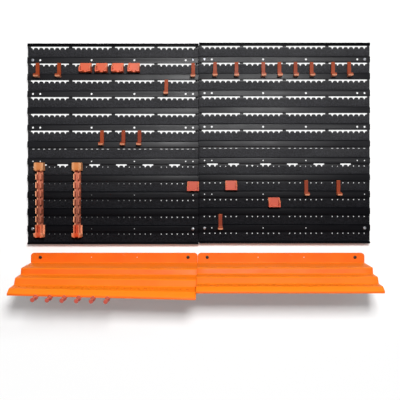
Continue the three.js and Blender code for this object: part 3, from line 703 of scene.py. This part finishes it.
# Painted light: the wall glows white behind the boards, where they shade it; painted shade dims that glow
# behind the lower rows.
GLOW_X, GLOW_Z = (0.3975, 0.3995), (0.2335, 0.2355)  # where the white behind the boards fades out
LOWER_ROWS_Z = (-0.080, -0.062)  # where it gets dimmer downwards
LOWER_ROWS_X, LOWER_ROWS_GLOW = (-0.25, -0.02), (0.06, 0.7)  # and how bright it then is, from left to right
BELOW_SHELF_Z, BELOW_SHELF_GLOW = (-0.48, -0.42), 0.85
FULL_GLOW = 0.98
KEY_PLACE, KEY_TARGET, KEY_SIZE, KEY_POWER = (0.17, -1.61, 0.38), (0, 0, -0.12), 0.30, 31
SKY_HEIGHTS, SKY_LEVELS = (-0.2, 0.9), (0.04, 0.56)  # the sky's strength grows with a direction's height
CAMERA_PLACE, CAMERA_SHIFT = (0.0289, -1.3356, -0.0703), (-0.0278, -0.0651)
FOCAL_PX, PHOTO_PX, SENSOR_W = 563.2, 400, 36  # the sensor's width is in millimetres


def stage_material(name, level, share, glow_inside):
    """Pale surface that is shown to the camera partly as plain white, and bounces less light."""
    n = Nodes(name)
    rays = n.add("ShaderNodeLightPath")
    shown, bounced = (level, level, level, 1), (BOUNCE, BOUNCE, BOUNCE, 1)
    n.put(n.shader.inputs["Base Color"], n.blend(rays.outputs["Is Diffuse Ray"], shown, bounced))
    n.put(n.shader.inputs["Roughness"], 0.9)
    n.put(n.shader.inputs["Specular IOR Level"], 0.1)
    white = n.add("ShaderNodeEmission", {"Color": (1, 1, 1, 1), "Strength": 1.0}).outputs[0]
    if glow_inside:
        # Painted light behind the boards, dimmer behind the lower rows as painted shade.
        place = n.add("ShaderNodeSeparateXYZ", {0: n.coords})
        x, z = n.math("ABSOLUTE", place.outputs[0]), n.math("ABSOLUTE", place.outputs[2])
        dim = n.span(place.outputs[0], *LOWER_ROWS_X, *LOWER_ROWS_GLOW)
        inside = n.math("MULTIPLY", n.span(x, *GLOW_X, 1.0, 0.0), n.span(z, *GLOW_Z, 1.0, 0.0))
        inside = n.math("MULTIPLY", inside, n.span(place.outputs[2], *LOWER_ROWS_Z, dim, 1.0))
        below = n.math("MULTIPLY", n.span(place.outputs[2], *BELOW_SHELF_Z, 1.0, 0.0), BELOW_SHELF_GLOW)
        share = n.span(n.math("MAXIMUM", inside, below), 0.0, 1.0, share, FULL_GLOW)
    direct = n.math("MAXIMUM", rays.outputs["Is Camera Ray"], rays.outputs["Is Glossy Ray"])
    seen = n.math("MULTIPLY", direct, share)
    mixed = n.add("ShaderNodeMixShader", {0: seen, 1: n.shader.outputs[0], 2: white}).outputs[0]
    clear = n.add("ShaderNodeBsdfTransparent").outputs[0]
    back = n.add("ShaderNodeNewGeometry").outputs["Backfacing"]
    n.put(n.output.inputs["Surface"], n.add("ShaderNodeMixShader", {0: back, 1: mixed, 2: clear}).outputs[0])
    return n.material


def plane(name, corners, material):
    mesh = bpy.data.meshes.new(name)
    mesh.from_pydata(corners, [], [(0, 1, 2, 3)])
    mesh.materials.append(material)
    made = bpy.data.objects.new(name, mesh)
    bpy.context.scene.collection.objects.link(made)


def build_stage():
    wall = stage_material("white_wall", level=0.97, share=0.12, glow_inside=True)
    floor = stage_material("pale_floor", level=0.55, share=0.5, glow_inside=False)
    x, y, low, front, top = STAGE_SIDE, WALL_Y, FLOOR_Z, STAGE_FRONT, STAGE_TOP
    plane("wall", [(-x, y, low), (x, y, low), (x, y, top), (-x, y, top)], wall)
    plane("floor", [(-x, front, low), (x, front, low), (x, y, low), (-x, y, low)], floor)


def area_light(name, place, target, size, power):
    lamp = bpy.data.lights.new(name, "AREA")
    lamp.shape = "SQUARE"
    lamp.size = size
    lamp.energy = power
    made = bpy.data.objects.new(name, lamp)
    bpy.context.scene.collection.objects.link(made)
    made.location = place
    made.rotation_euler = (Vector(target) - Vector(place)).to_track_quat("-Z", "Y").to_euler()


def build_light():
    area_light("key", KEY_PLACE, KEY_TARGET, KEY_SIZE, KEY_POWER)
    world = bpy.data.worlds.new("studio")
    world.use_nodes = True
    bpy.context.scene.world = world
    tree = world.node_tree
    coords = tree.nodes.new("ShaderNodeTexCoord")
    parts = tree.nodes.new("ShaderNodeSeparateXYZ")
    tree.links.new(coords.outputs["Generated"], parts.inputs[0])
    level = tree.nodes.new("ShaderNodeMapRange")
    tree.links.new(parts.outputs[2], level.inputs[0])
    for index, value in enumerate(SKY_HEIGHTS + SKY_LEVELS, 1):
        level.inputs[index].default_value = value
    soft, bright = tree.nodes["Background"], tree.nodes.new("ShaderNodeBackground")
    for background in (soft, bright):
        background.inputs[0].default_value = (1, 1, 1, 1)
    bright.inputs[1].default_value = 1.0
    tree.links.new(level.outputs[0], soft.inputs[1])
    see = tree.nodes.new("ShaderNodeLightPath")
    mix = tree.nodes.new("ShaderNodeMixShader")
    tree.links.new(see.outputs["Is Camera Ray"], mix.inputs[0])
    tree.links.new(soft.outputs[0], mix.inputs[1])
    tree.links.new(bright.outputs[0], mix.inputs[2])
    tree.links.new(mix.outputs[0], tree.nodes["World Output"].inputs[0])


def build_camera():
    lens = bpy.data.cameras.new("camera")
    lens.sensor_width = SENSOR_W
    lens.lens = FOCAL_PX / PHOTO_PX * SENSOR_W
    lens.shift_x, lens.shift_y = CAMERA_SHIFT
    lens.clip_start, lens.clip_end = 0.05, 30
    made = bpy.data.objects.new("camera", lens)
    bpy.context.scene.collection.objects.link(made)
    made.location = CAMERA_PLACE
    made.rotation_euler = (QUARTER, 0, 0)
    bpy.context.scene.camera = made


build_camera()
build_stage()
build_light()
build_boards()
build_shelves()
build_screws()
dress_solids()

bpy.context.scene.view_settings.view_transform = "Standard"
